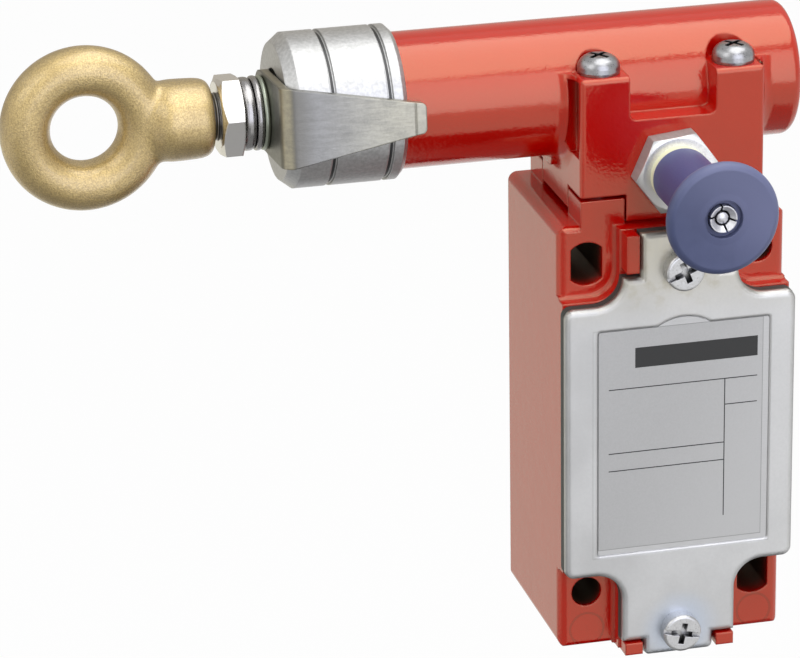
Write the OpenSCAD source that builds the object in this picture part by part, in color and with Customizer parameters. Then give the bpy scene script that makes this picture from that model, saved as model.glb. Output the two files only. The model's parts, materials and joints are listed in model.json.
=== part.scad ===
// Latching rope pull switch: cast body, cast head with a spring-loaded pull rod,
// a cam and plunger that work the contact block, and a pull-out reset knob.
// Frame: +Z up, +X away from the rope, the front faces -Y.
// The origin is the centre of the fixing pattern on the back face. Lengths are in mm.

/* [Fixing pattern] */
// Distance between the fixing centres across the body
fixing_x = 30; // [29.6:0.1:30.4]
// Distance between the fixing centres up the body
fixing_z = 60; // [59:0.2:61]
// Diameter of the two round fixing holes
fixing_hole_d = 5.3; // [4.5:0.1:5.6]
// Width of the two fixing slots
fixing_slot_w = 5.5; // [4.6:0.1:5.8]
// Length of the two fixing slots
fixing_slot_l = 7.6; // [6.4:0.1:8]

/* [Body casting] */
// Width of the body
body_w = 39.8; // [39.4:0.2:44]
// Depth of the body from the back face to the fixing pads
body_depth = 31.6; // [31.2:0.2:33]
// Height of the body top above the origin
body_top = 36.6; // [36.4:0.2:38]
// Depth of the body bottom below the origin
body_bottom = 40.2; // [39.4:0.2:42]
// Thickness of the side and back walls
body_wall = 2.6; // [2:0.1:3]
// Radius of the long edges of the body
body_edge_r = 1.6; // [0.8:0.1:2.4]
// Height above the pads of the land that carries the gasket
land_h = 2.5; // [2:0.1:4]
// Width of the land between the fixing pads
waist_w = 20; // [19:0.2:20.6]
// Radius of the concave corners of the land
waist_r = 4.3; // [3:0.1:5]
// Height of the upper step of the land above the origin
land_top_step = 24.1; // [23:0.1:24.6]
// Depth of the lower step of the land below the origin
land_bottom_step = 24.9; // [24:0.1:25.2]
// Size of the four corner posts that take the head screws
post_size = 7.6; // [7:0.1:8]
// Height of the corner posts above the body top
post_h = 4.3; // [3:0.1:6]
// Core diameter of the M20 x 1.5 cable entry
entry_d = 18.5; // [16:0.1:19]

/* [Cover] */
// Thickness of the cover gasket
gasket_t = 1.5; // [0.8:0.1:2]
// Thickness of the cover plate
cover_t = 1.5; // [1.2:0.1:2.4]
// Overhang of the cover past the land at each side
cover_overhang = 0.3; // [0:0.1:0.6]
// Radius of the rounded rim of the cover
cover_rim_r = 0.9; // [0.3:0.1:1.1]
// Width of the upper tab of the cover
cover_top_tab_w = 14; // [11:0.1:14.4]
// Width of the lower tab of the cover
cover_bottom_tab_w = 12.2; // [10:0.1:12.6]
// Height of the locating lugs above the land
lug_h = 3.4; // [2.6:0.1:4]
// Width of the rating plate
plate_w = 30.4; // [26:0.2:33]
// Height of the rating plate
plate_h = 41; // [36:0.2:43]
// Diameter of the cover screw heads
cover_screw_head_d = 6.7; // [6:0.1:7.4]

/* [Head casting] */
// Width of the head block
head_w = 32; // [31.6:0.2:33]
// Height of the head screw bosses above the body top
head_boss_h = 25.4; // [24:0.1:26]
// Height of the notch floor between the bosses above the body top
head_notch_h = 17.8; // [16:0.1:20]
// Width of the notch between the bosses
head_notch_w = 15; // [14:0.2:15.6]
// Outside diameter of the spring tube
tube_d = 23; // [22.6:0.1:23.4]
// Bore diameter of the spring tube
tube_bore_d = 18; // [17.6:0.1:18.4]
// Height of the tube axis above the body top
tube_axis_h = 19.9; // [19.6:0.1:20.3]
// Reach of the open end of the tube from the body centre
tube_open_end = 59.8; // [58:0.2:64]
// Reach of the closed end of the tube from the body centre
tube_closed_end = 24.2; // [23.6:0.2:28]
// Distance of the head screws from the body centre
head_screw_x = 11.7; // [11.5:0.1:12]
// Diameter of the domed screw heads
head_screw_head_d = 7.2; // [6.4:0.1:7.6]

/* [Pull end] */
// Outside diameter of the end cap
cap_d = 26.1; // [25.6:0.1:26.6]
// Length of the end cap
cap_l = 19.9; // [18:0.1:22]
// Diameter of the front opening of the end cap
cap_mouth_d = 14.4; // [13:0.1:16]
// Diameter of the thread of the pull rod
rod_thread_d = 7.9; // [6:0.1:8]
// Diameter of the shank of the pull rod
rod_shank_d = 11; // [10:0.1:11.4]
// Thickness of the pointer sheet
pointer_t = 1.5; // [1:0.1:1.8]
// Height of the pointer at the bend
pointer_root_h = 13.4; // [11:0.1:14]
// Height of the pointer arm at its tip
pointer_tip_h = 5.2; // [4:0.1:8]
// Length of the pointer from its plate to the tip of its arm
pointer_l = 24.2; // [22:0.1:26]
// Turn of the pointer about the rod in degrees
pointer_turn = 4.8; // [0:0.1:8]
// Diameter of the washers on the rod
washer_d = 12.5; // [11:0.1:13]
// Width across the flats of the lock nut
lock_nut_flats = 12.7; // [12:0.1:14]
// Thickness of the lock nut
lock_nut_t = 3.8; // [3.2:0.1:5]
// Gap between the lock nut and the eye nut
eye_gap = 0.8; // [0.6:0.1:3]
// Diameter of the boss of the eye nut
eye_boss_d = 13.7; // [13:0.1:14.4]
// Radius of the centre line of the eye ring
eye_ring_r = 9.9; // [9:0.1:12]
// Diameter of the section of the eye ring
eye_section_d = 8.3; // [6.4:0.1:8.4]
// Distance from the face of the eye boss to the centre of the ring
eye_reach = 21.3; // [20.4:0.1:24]
// Travel of the pull rod to its end stop
rod_travel = 12; // [8:0.5:12]
// Drop of the cam ramp for each millimetre of pull
cam_slope = 0.3; // [0.2:0.01:0.3]

/* [Reset] */
// Height of the knob axis above the body top
knob_axis_h = 8.9; // [8.7:0.1:9.2]
// Diameter of the knob flange
knob_d = 19; // [17:0.1:22]
// Diameter of the knob neck
knob_neck_d = 10.1; // [9:0.1:10.6]
// Reach of the knob face from the front of the head
knob_reach = 28.4; // [24:0.1:30]
// Travel of the knob when it is pulled
knob_travel = 4; // [2:0.5:4]
// Width across the flats of the reset bush
bush_flats = 12.8; // [12.4:0.1:14]
// Thickness of the hexagon of the reset bush
bush_hex_t = 3.6; // [2.5:0.1:4]

/* [Contact block] */
// Clearance between the contact block and the side walls
block_gap = 0.8; // [0.4:0.1:1.4]
// Height of the contact block
block_h = 40; // [39:0.2:41]
// Diameter of the plunger head
plunger_d = 8; // [7.4:0.1:8]

/* [Hidden] */
$fn = 64;

// Clearances
slide_gap = 0.05;      // radial, a shaft that slides in a bore
thread_gap = 0.05;     // radial, a screw in its hole
seat_gap = 0.3;        // between faces that must not rub
closed_gap = 0.05;     // between closed contacts
eps = 0.01;            // short overshoot of a cutting tool
past = 1;              // long overshoot of a cutting tool

// Body and cover places
half_w = body_w / 2;
pad_y = -body_depth;
land_y = pad_y - land_h;
cover_back = land_y - gasket_t;
cover_front = cover_back - cover_t;
land_inset = 0.2;
cover_step_r = 1.6;
screw_top_z = 29.6;
screw_bottom_z = -body_bottom + 3.8;
cavity_half_w = half_w - body_wall;
cavity_half_h = 21;
block_half_w = cavity_half_w - block_gap;
cavity_neck_w = 14.8;
cavity_neck_top = 25;
cavity_neck_bottom = -32.5;
entry_y = -15;
entry_depth = 8.4;
block_back = -6;
boss_inner_x = half_w - body_wall - 4.1;

// Head places
head_z = body_top + seat_gap;
boss_z = body_top + head_boss_h;
notch_z = body_top + head_notch_h;
head_back = -0.6;
head_edge_r = 0.8;
head_half_w = head_w / 2;
axis_y = pad_y / 2;
axis_z = body_top + tube_axis_h;
tube_r = tube_d / 2;
tube_bore_r = tube_bore_d / 2;
guide_r = 8.2;
guide_x = -18;
guide_end_x = tube_closed_end - 2.4;
head_screw_y = pad_y + 4.2;
head_screw_r = 1.6;
knob_z = body_top + knob_axis_h;

// Pull end places
cap_r = cap_d / 2;
cap_wall = 1.5;
wiper_t = 2;
seat_t = 1;
tube_end_x = -tube_open_end;
wiper_x = tube_end_x - seat_t - wiper_t;
cap_front = wiper_x - cap_wall;
cap_back = cap_front + cap_l;
shank_r = rod_shank_d / 2;
thread_r = rod_thread_d / 2;
pointer_back = cap_front - seat_gap;
pointer_front = pointer_back - pointer_t;
tinted_t = 1;
flat_t = 1.2;
split_t = 2.1;
tinted_x = pointer_front - tinted_t;
flat_x = tinted_x - flat_t;
split_x = flat_x - split_t;
nut_x = split_x - lock_nut_t;
boss_x = nut_x - eye_gap;
eye_x = boss_x - eye_reach;
thread_end_x = boss_x - 8;
collar_x = -22;
collar_t = 2;
neck_r = 2;

// Plunger and cam places
dome_r = 6;
plunger_r = plunger_d / 2;
dome_z = axis_z - 9.53;
dome_rise = sqrt(dome_r * dome_r - plunger_r * plunger_r);
plunger_travel = rod_travel * cam_slope;
ramp_z = dome_z + (dome_r + seat_gap) * sqrt(1 + cam_slope * cam_slope);
latch_z = knob_z + plunger_travel;
latch_r = 1.2;
pocket_r = 6.6;
pocket_top = body_top + 6.4;
pocket_floor = body_top - 7.6;
flange_t = 1.2;
stem_r = 3;
carrier_top = 21;

// ---------- shared shapes ----------

// Cylinder along X about the tube axis
module along_x(x0, x1, r) {
    translate([x0, axis_y, axis_z]) rotate([0, 90, 0]) cylinder(h = x1 - x0, r = r);
}

// Cylinder along Y about (x, z), from the front plane to the back plane
module along_y(x, z, front, back, r) {
    translate([x, back, z]) rotate([90, 0, 0]) cylinder(h = back - front, r = r);
}

// Flat outline in X and Z made solid from the front plane to the back plane
module plate(front, back) {
    translate([0, back, 0]) rotate([90, 0, 0]) linear_extrude(height = back - front) children();
}

// Flat outline in Y and Z made solid from x0 to x1
module side_plate(x0, x1) {
    translate([x0, 0, 0]) rotate([90, 0, 90]) linear_extrude(height = x1 - x0) children();
}

// Profile of radius against X, turned about the tube axis
module turned_x() {
    translate([0, axis_y, axis_z]) rotate([0, 90, 0]) rotate_extrude() children();
}

// Profile of radius against depth in front of the pads, turned about (x, z)
module turned_y(x, z, y) {
    translate([x, y, z]) rotate([90, 0, 0]) rotate_extrude() children();
}

// Box between two corners
module box(low, high) {
    translate(low) cube(high - low);
}

// Rectangle between two corners with round corners
module round_rect(low, high, r) {
    translate([low.x + r, low.y]) square([high.x - low.x - 2 * r, high.y - low.y]);
    translate([low.x, low.y + r]) square([high.x - low.x, high.y - low.y - 2 * r]);
    for (x = [low.x + r, high.x - r], y = [low.y + r, high.y - r]) translate([x, y]) circle(r);
}

// Concave filler beside the corner at (x, z); side and up give the empty quarter
module corner_fill(x, z, side, up, r) {
    polygon(concat([[x - side * eps, z - up * eps], [x + side * r, z - up * eps]],
        [for (i = [0:12]) let (a = 90 * i / 12)
            [x + side * (r - r * sin(a)), z + up * (r - r * cos(a))]],
        [[x - side * eps, z + up * r]]));
}

// Points of an arc, for profiles
function arc(cx, cy, r, a0, a1, n = 8) =
    [for (i = [0:n]) let (a = a0 + (a1 - a0) * i / n) [cx + r * cos(a), cy + r * sin(a)]];

// Regular hexagon given by the width across its flats
module hexagon(flats) {
    circle(r = flats / 2 / cos(30), $fn = 6);
}

// Round wire coil about Z, standing on z = 0
module coil(mean_r, wire_r, height, turns, sides = 6, per_turn = 16) {
    steps = turns * per_turn;
    rise = height - 2 * wire_r;
    rings = [for (i = [0:steps]) let (a = 360 * i / per_turn, z = wire_r + rise * i / steps)
        [for (k = [0:sides - 1]) let (b = 360 * k / sides, r = mean_r + wire_r * cos(b))
            [r * cos(a), r * sin(a), z + wire_r * sin(b)]]];
    walls = [for (i = [0:steps - 1], k = [0:sides - 1]) let (m = (k + 1) % sides, n = i * sides)
        each [[n + k, n + sides + k, n + sides + m], [n + k, n + sides + m, n + m]]];
    first = [for (k = [0:sides - 1]) k];
    last = [for (k = [sides - 1:-1:0]) steps * sides + k];
    polyhedron(points = [for (ring = rings) each ring], faces = concat([first], walls, [last]));
}

// Cross recess and slot of a screw head, cut down from z = 0
module recess(arm, width, depth) {
    for (a = [0, 90]) rotate(a) translate([-arm / 2, -width / 2, -depth]) cube([arm, width, depth + past]);
}

// ---------- body ----------

// Outline of the land: a wide panel with a narrower neck above and below
module land_outline(grow, foot, r) {
    waist = waist_w / 2 + grow;
    top = land_top_step + grow;
    bottom = -land_bottom_step - grow;
    translate([-waist, foot]) square([2 * waist, body_top - land_inset - foot]);
    translate([-half_w - grow, bottom]) square([2 * (half_w + grow), top - bottom]);
    for (s = [-1, 1]) {
        corner_fill(s * waist, top, s, 1, r);
        corner_fill(s * waist, bottom, s, -1, r);
    }
}

// Outline of the inside of the body
module cavity_outline() {
    round_rect([-cavity_half_w, -cavity_half_h], [cavity_half_w, cavity_half_h], 2);
    round_rect([-cavity_neck_w / 2, cavity_neck_bottom], [cavity_neck_w / 2, cavity_neck_top], 1.5);
}

// Outline of one fixing slot: a round hole with two flat sides
module slot_outline() {
    intersection() {
        circle(fixing_slot_l / 2);
        translate([-fixing_slot_w / 2, -fixing_slot_l / 2]) square([fixing_slot_w, fixing_slot_l]);
    }
}

module body_shell() {
    intersection() {
        plate(pad_y, 0) round_rect([-half_w, -body_bottom], [half_w, body_top], body_edge_r);
        translate([0, 0, -body_bottom]) linear_extrude(height = body_bottom + body_top)
            round_rect([-half_w, pad_y], [half_w, past + body_edge_r], body_edge_r);
        side_plate(-half_w, half_w) round_rect([pad_y, -body_bottom], [past + body_edge_r, body_top], 1);
    }
    // the land, with a small fillet at its foot in three steps
    for (step = [[0, land_h], [0.15, 0.4], [0.4, 0.15]])
        plate(pad_y - step[1], pad_y + body_edge_r) intersection() {
            land_outline(step[0], -body_bottom, waist_r);
            translate([-half_w, -body_bottom]) square([body_w, body_top + body_bottom]);
        }
    for (sx = [-1, 1], y = [pad_y, head_back - post_size])
        translate([sx > 0 ? post_inner : -post_outer, y, body_top - post_root])
            cube([post_size, post_size, post_root + post_h]);
}
post_root = 3;
post_outer = head_half_w;
post_inner = post_outer - post_size;

// Locating lugs beside the cover tabs
module body_lugs() {
    for (s = [-1, 1]) {
        plate(land_y - lug_h, land_y + eps) lug_outline(s, cover_top_tab_w / 2 + lug_gap, 29.6, body_top - 0.4);
        plate(land_y - lug_h, land_y + eps)
            lug_outline(s, cover_bottom_tab_w / 2 + lug_gap, -body_bottom, -body_bottom + 2.1);
    }
}
lug_gap = 0.5;
lug_outer = waist_w / 2 - 0.3;
module lug_outline(side, inner, low, high) {
    translate([side > 0 ? inner : -lug_outer, low]) square([lug_outer - inner, high - low]);
}

module body_casting() color([0.72, 0.05, 0.04]) {
    difference() {
        union() {
            body_shell();
            body_lugs();
        }
        difference() {
            plate(land_y - past, -body_wall) cavity_outline();
            for (s = [-1, 1]) along_y(s * block_screw_x, s * block_screw_z, block_back, 0, 3.2);
            along_y(0, earth_z, earth_boss, 0, 3.6);
        }
        // round fixing holes on one diagonal, slots on the other
        for (s = [-1, 1]) {
            along_y(s * fixing_x / 2, s * fixing_z / 2, pad_y - past, past, fixing_hole_d / 2);
            plate(pad_y - past, past) translate([-s * fixing_x / 2, s * fixing_z / 2]) slot_outline();
        }
        // cable entry
        translate([0, entry_y, -body_bottom - past]) cylinder(h = entry_depth + past, r = entry_d / 2);
        translate([0, entry_y, -body_bottom - eps]) cylinder(h = 1, r1 = entry_d / 2 + 1, r2 = entry_d / 2);
        // plunger pocket and plunger guide
        translate([0, axis_y, pocket_floor]) cylinder(h = post_h * 4, r = pocket_r);
        translate([0, axis_y, cavity_neck_top - past]) cylinder(h = pocket_floor, r = stem_r + slide_gap);
        // screw holes
        along_y(0, screw_top_z, land_y - past, land_y + 8, screw_r + thread_gap);
        along_y(0, screw_bottom_z, land_y - past, land_y + 7.4, screw_r + thread_gap);
        for (sx = [-1, 1], y = head_screw_rows)
            translate([sx * head_screw_x, y, body_top - 1.8])
                cylinder(h = post_h + 1.8 + past, r = head_screw_r + thread_gap, $fn = 32);
        for (s = [-1, 1])
            along_y(s * block_screw_x, s * block_screw_z, block_back - past, -1.2, block_screw_r + thread_gap);
        along_y(0, earth_z, earth_boss - past, -1.2, 1.8 + thread_gap);
    }
}
screw_r = 1.9;
head_screw_rows = [head_screw_y, pad_y - head_screw_y];
block_screw_x = block_half_w - 3.5;
block_screw_z = 17;
earth_z = -26;
earth_boss = -5;

// Outline shared by the gasket and the cover, with the notches for the lugs
module cover_outline(grow, tab_grow, round) {
    step = cover_overhang + grow;
    wide = half_w + step;
    top = land_top_step - 0.4 + grow;
    bottom = -land_bottom_step - 0.1 - grow;
    neck = waist_w / 2 + grow;
    tab_top = cover_top_tab_w / 2 + tab_grow;
    tab_low = cover_bottom_tab_w / 2 + tab_grow;
    foot = -body_bottom + 2.4 - grow;
    round_rect([-wide, bottom], [wide, top], round);
    translate([-neck, foot]) square([2 * neck, cover_shoulder + grow - foot]);
    translate([-tab_top, 0]) square([2 * tab_top, body_top - 0.4 + grow]);
    round_rect([-tab_low, -body_bottom - 0.6 - grow], [tab_low, 0], 0.9);
    for (s = [-1, 1]) {
        corner_fill(s * neck, top, s, 1, 4.9 - grow);
        corner_fill(s * neck, bottom, s, -1, 4.9 - grow);
    }
}
cover_shoulder = 28.5;

module cover_holes() {
    for (z = [screw_top_z, screw_bottom_z]) along_y(0, z, cover_front - past, land_y + past, screw_r + 0.25);
}

gasket_proud = 0.05;

module cover_gasket() color([0.22, 0.23, 0.21]) {
    difference() {
        plate(cover_back, land_y) cover_outline(gasket_proud, gasket_proud, cover_step_r);
        plate(cover_back - past, land_y + past) cavity_outline();
        cover_holes();
    }
}

module cover_plate() color([0.78, 0.78, 0.76]) {
    difference() {
        union() {
            plate(cover_front + cover_rim_r, cover_back) cover_outline(0, 0, cover_step_r);
            // rounded rim in three steps of an arc
            for (a = [30, 60, 90]) let (step = cover_rim_r * (1 - cos(a - 15)))
                plate(cover_front + cover_rim_r * (1 - sin(a)), cover_back)
                    cover_outline(-step, -step, cover_step_r - step);
        }
        cover_holes();
        plate(cover_front - past, cover_front + plate_recess) plate_outline(plate_w, plate_h);
    }
}
plate_recess = 0.3;
plate_x = 0.5;
plate_mid_z = -0.8;

// Outline of the rating plate, with the bulge that clears the upper screw
module plate_outline(w, h) {
    low = [plate_x - w / 2, plate_mid_z - h / 2];
    high = [plate_x + w / 2, plate_mid_z + h / 2];
    round_rect(low, high, 0.5);
    intersection() {
        translate([plate_x, high.y - bulge_r + 1.4]) circle(bulge_r);
        translate([low.x, plate_mid_z]) square([w, h]);
    }
}
bulge_r = 8.6;

module rating_plate() color([0.74, 0.74, 0.74]) {
    plate(cover_front + 0.1, cover_front + plate_recess) plate_outline(plate_w - 0.4, plate_h - 0.4);
}

// Cheese head screw along Y with its head on the given plane
module cheese_screw(x, z, seat, length, shank, head_r, head_h, arm, turn) {
    difference() {
        union() {
            along_y(x, z, seat - eps, seat + length, shank);
            turned_y(x, z, seat) polygon(concat([[0, 0], [head_r, 0]],
                arc(head_r - 0.5, head_h - 0.5, 0.5, 0, 90, 4), [[0, head_h]]));
        }
        translate([x, seat - head_h, z]) rotate([90, turn, 0]) recess(arm, 1, 1.3);
        translate([x, seat - head_h, z]) rotate([90, turn, 0]) translate([-head_r - past, -0.4, -0.6])
            cube([2 * head_r + 2 * past, 0.8, 2]);
    }
}

module cover_screws() color([0.8, 0.8, 0.8]) {
    cheese_screw(0, screw_top_z, cover_front, 10, screw_r, cover_screw_head_d / 2, 2.4, 3.8, -22);
    cheese_screw(0, screw_bottom_z, cover_front, 9.4, screw_r, cover_screw_head_d / 2, 2.4, 3.8, 12);
}

// ---------- head ----------

module head_gasket() color([0.12, 0.12, 0.12]) {
    difference() {
        translate([0, 0, body_top]) linear_extrude(height = seat_gap) difference() {
            round_rect([-head_half_w + 1.2, pad_y + 1.2], [head_half_w - 1.2, head_back - 1.2], 1);
            for (sx = [-1, 1], y = [pad_y, head_back - post_size])
                translate([sx > 0 ? post_inner - 0.4 : -post_outer - 0.4, y - 0.4])
                    square(post_size + 0.8);
        }
        translate([0, axis_y, body_top - past]) cylinder(h = 2 * past, r = pocket_r + 0.4);
    }
}

// Block of the casting under and beside the tube
module head_block() difference() {
    intersection() {
        plate(pad_y, head_back) difference() {
            round_rect([-head_half_w, head_z], [head_half_w, boss_z], head_edge_r);
            round_rect([-head_notch_w / 2, notch_z], [head_notch_w / 2, boss_z + 9], 1.2);
        }
        translate([0, 0, head_z]) linear_extrude(height = head_boss_h)
            round_rect([-head_half_w, pad_y], [head_half_w, head_back], head_edge_r);
        side_plate(-head_half_w, head_half_w)
            round_rect([pad_y, head_z - 2], [head_back, boss_z], head_edge_r);
    }
    // the rear bosses are lower
    box([-head_half_w - past, axis_y, boss_z - rear_drop], [head_half_w + past, past, boss_z + past]);
}
rear_drop = 1;
function seat_z(y) = y > axis_y ? boss_z - rear_drop : boss_z;

// Ring of fillet where the tube leaves the side of the block
module tube_fillet(side) {
    r = 3;
    base = side * (head_half_w - eps);
    intersection() {
        translate([base, axis_y, axis_z]) rotate([0, side * 90, 0]) rotate_extrude()
            difference() {
                translate([tube_r - past, 0]) square([r + past, r]);
                translate([tube_r + r, r]) circle(r);
            }
        side_plate(side > 0 ? base : base - r, side > 0 ? base + r : base)
            round_rect([pad_y, head_z], [head_back, boss_z], 3);
    }
}

module head_solid() {
    head_block();
    turned_x() polygon(concat([[0, guide_x], [0, tube_end_x], [tube_r, tube_end_x]],
        arc(tube_r - 1.6, tube_closed_end - 1.6, 1.6, 0, 90, 10), [[0, tube_closed_end]]));
    for (s = [-1, 1]) tube_fillet(s);
    translate([-nib_x, nib_y, head_z + 6.6]) rotate([90, 0, 90])
        linear_extrude(height = nib_x - head_half_w + past) round_rect([-1.7, 0], [1.7, 3.2], 1.2);
}
nib_x = 17.6;
nib_y = -17.6;

module head_casting() color([0.72, 0.05, 0.04]) {
    difference() {
        head_solid();
        // stepped bore of the tube
        along_x(tube_end_x - past, guide_x, tube_bore_r);
        along_x(guide_x - past, guide_end_x, guide_r);
        // corner notches round the posts
        for (sx = [-1, 1], y = [pad_y - past, head_back - post_size - post_gap])
            translate([sx > 0 ? post_inner - post_gap : -post_outer - past, y, head_z - past])
                cube([post_size + post_gap + past, post_size + post_gap + past, post_h + post_gap + past]);
        // plunger bore and pocket
        translate([0, axis_y, head_z]) cylinder(h = axis_z - head_z, r = plunger_r + slide_gap);
        translate([0, axis_y, head_z - past]) cylinder(h = pocket_top - head_z + past, r = pocket_r);
        // reset bore
        along_y(0, knob_z, pad_y - past, bush_end_y, bush_r + thread_gap);
        along_y(0, knob_z, bush_end_y - past, collar_y, collar_r + 0.2);
        along_y(0, knob_z, collar_y - past, axis_y, latch_r + slide_gap);
        // screw holes and pockets for the screw heads
        for (sx = [-1, 1], y = head_screw_rows) translate([sx * head_screw_x, y, 0]) {
            translate([0, 0, head_z]) cylinder(h = head_boss_h + past, r = head_screw_r + 0.15, $fn = 32);
            pocket_wide = sx > 0 ? 0.5 : 0.2;
            translate([sx > 0 ? -0.4 : 0, sx > 0 ? 0.3 : 0, seat_z(y)])
                cylinder(h = tube_r, r = head_screw_head_d / 2 + pocket_wide);
        }
        // shallow recesses in the sides of the front bosses and under the sides
        for (s = [-1, 1]) {
            box_pair(s, head_half_w - 1, head_half_w + past, [-30.6, 48.2], [-25.9, 61.2]);
            box_pair(s, head_half_w - 2, head_half_w + past, [-24.2, head_z - past], [-8.8, head_z + 0.6]);
        }
    }
}
post_gap = 0.35;
bush_r = 5;
bush_end_y = pad_y + 7.4;
collar_y = bush_end_y + 1.3;
collar_r = 4.1;

// Box on one side of the head, given by its reach in X and two corners in Y and Z
module box_pair(side, near, far, low, high) {
    x0 = side > 0 ? near : -far;
    translate([x0, low.x, low.y]) cube([far - near, high.x - low.x, high.y - low.y]);
}

module head_screws() color([0.75, 0.74, 0.7]) {
    for (sx = [-1, 1], y = head_screw_rows) translate([sx * head_screw_x, y, seat_z(y)])
        pan_screw(seat_z(y) - body_top + 1.2);
}

// Pan head screw standing on its seat, with its thread pointing down
module pan_screw(shank) {
    r = head_screw_head_d / 2;
    h = 3.1;
    difference() {
        union() {
            rotate_extrude() polygon(concat([[0, 0], [r - 0.1, 0], [r, 0.5]],
                arc(r - 2.3, h - 2.3, 2.3, 12, 75, 8), [[0, h]]));
            translate([0, 0, -shank]) cylinder(h = shank + eps, r = head_screw_r, $fn = 32);
        }
        translate([0, 0, h]) rotate(35) recess(4, 0.9, 1.5);
    }
}

// ---------- pull end ----------

module end_cap() color([0.78, 0.78, 0.78]) {
    groove_w = 0.9;
    groove_d = 0.5;
    difference() {
        turned_x() polygon([[0, cap_front], [cap_r - 1.5, cap_front], [cap_r, cap_front + 1.9],
            [cap_r, cap_back - 0.8], [cap_r - 0.8, cap_back], [0, cap_back]]);
        along_x(wiper_x, cap_back + past, tube_r + thread_gap);
        along_x(cap_front - past, wiper_x + past, cap_mouth_d / 2);
        for (x = [cap_front + 7.1, cap_front + 16.6]) turned_x()
            translate([cap_r - groove_d, x]) square([groove_d + past, groove_w]);
    }
}

module rod_wiper() color([0.1, 0.1, 0.1]) {
    difference() {
        along_x(wiper_x, wiper_x + wiper_t, tube_r);
        along_x(wiper_x - past, wiper_x + wiper_t + past, shank_r + seat_gap);
    }
}

module spring_seat() color([0.6, 0.6, 0.6]) {
    difference() {
        along_x(wiper_x + wiper_t, tube_end_x, tube_r);
        along_x(wiper_x, tube_end_x + past, shank_r + slide_gap);
    }
}

module main_spring() color([0.55, 0.56, 0.58]) {
    translate([tube_end_x, axis_y, axis_z]) rotate([0, 90, 0])
        coil(main_coil_r, main_wire_r, collar_x - tube_end_x, 8);
}

main_wire_r = 1.1;
main_coil_r = tube_bore_r - main_wire_r - 0.55;

module pull_rod() color([0.7, 0.7, 0.7]) {
    along_x(thread_end_x, pointer_back + eps, thread_r);
    along_x(pointer_back, guide_x, shank_r);
    along_x(guide_x - eps, sleeve_end_x, neck_r);
    along_x(collar_x, collar_x + collar_t, tube_bore_r - 0.3);
}
sleeve_end_x = 14;

// Sleeve with the inclined cam ramp on its underside
module cam_sleeve() color([0.66, 0.6, 0.4]) {
    ramp_start = -3.5;
    ramp_end = sleeve_end_x + past;
    low = axis_z - guide_r - past;
    difference() {
        along_x(guide_x, sleeve_end_x, guide_r - slide_gap);
        along_x(guide_x - past, sleeve_end_x + past, neck_r + slide_gap);
        plate(axis_y - 2 * guide_r, axis_y + 2 * guide_r) polygon([[ramp_start - 2, low],
            [ramp_start - 2, ramp_z - 3], [ramp_start, ramp_z - cam_slope * ramp_start],
            [ramp_end, ramp_z - cam_slope * ramp_end], [ramp_end, low]]);
    }
}

// Sheet pointer: a plate on the rod, bent into one tapered arm in front of the cap
module tension_pointer() color([0.64, 0.64, 0.6]) {
    inner = cap_r + seat_gap;
    outer = inner + pointer_t;
    bend = pointer_t + 1.2;
    tip_x = pointer_front + pointer_l;
    root = pointer_root_h / 2;
    tip = pointer_tip_h / 2;
    translate([0, axis_y, axis_z]) rotate([-pointer_turn, 0, 0]) difference() {
        intersection() {
            translate([0, 0, -root]) linear_extrude(height = 2 * root) difference() {
                round_rect([pointer_front, -outer], [tip_x + bend, pointer_rear + bend], bend);
                round_rect([pointer_back, -inner], [tip_x + 2 * bend, pointer_rear + 2 * bend],
                    bend - pointer_t);
                translate([tip_x, -2 * outer]) square([2 * bend, 4 * outer]);
                translate([-2 * tube_open_end, pointer_rear]) square([2 * tube_open_end, 2 * bend]);
            }
            plate(-2 * outer, outer) union() {
                polygon([[pointer_front - past, -root], [pointer_back, -root], [tip_x - 1, -tip],
                    [tip_x - 1, tip], [pointer_back, root], [pointer_front - past, root]]);
                round_rect([tip_x - 2.2, -tip], [tip_x, tip], 0.9);
            }
            // round corners at the rear of the plate
            side_plate(pointer_front - past, tip_x + past)
                round_rect([-2 * outer, -root], [pointer_rear, root], 5);
        }
        translate([pointer_front - past, 0, 0]) rotate([0, 90, 0])
            cylinder(h = 3 * past + pointer_t, r = thread_r + 0.1);
        // mark scribed across the tip
        translate([tip_x - 1.8, -outer - past / 2 + 0.12, 0]) cube([0.25, past, 4 * tip], center = true);
    }
}
pointer_rear = 6.9;

// Ring on the rod with round outer edges
module rod_ring(x0, x1, outer, round) {
    difference() {
        turned_x() polygon(concat([[0, x0]], arc(outer - round, x0 + round, round, -90, 0, 4),
            arc(outer - round, x1 - round, round, 0, 90, 4), [[0, x1]]));
        along_x(x0 - past, x1 + past, thread_r + 0.1);
    }
}

module tinted_washer() color([0.72, 0.72, 0.5]) {
    rod_ring(tinted_x, pointer_front, washer_d / 2, 0.45);
}

module flat_washer() color([0.7, 0.7, 0.7]) {
    rod_ring(flat_x, tinted_x, washer_d / 2, 0.5);
}

// Split spring washer, pressed flat, with its split at the top rear
module spring_washer() color([0.6, 0.6, 0.6]) {
    difference() {
        rod_ring(split_x, flat_x, washer_d / 2 - 0.1, 0.8);
        translate([split_x - past, axis_y, axis_z]) rotate([-40, 0, 0])
            translate([0, -0.4, 0]) cube([split_t + 2 * past, 0.8, washer_d]);
    }
}

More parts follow.
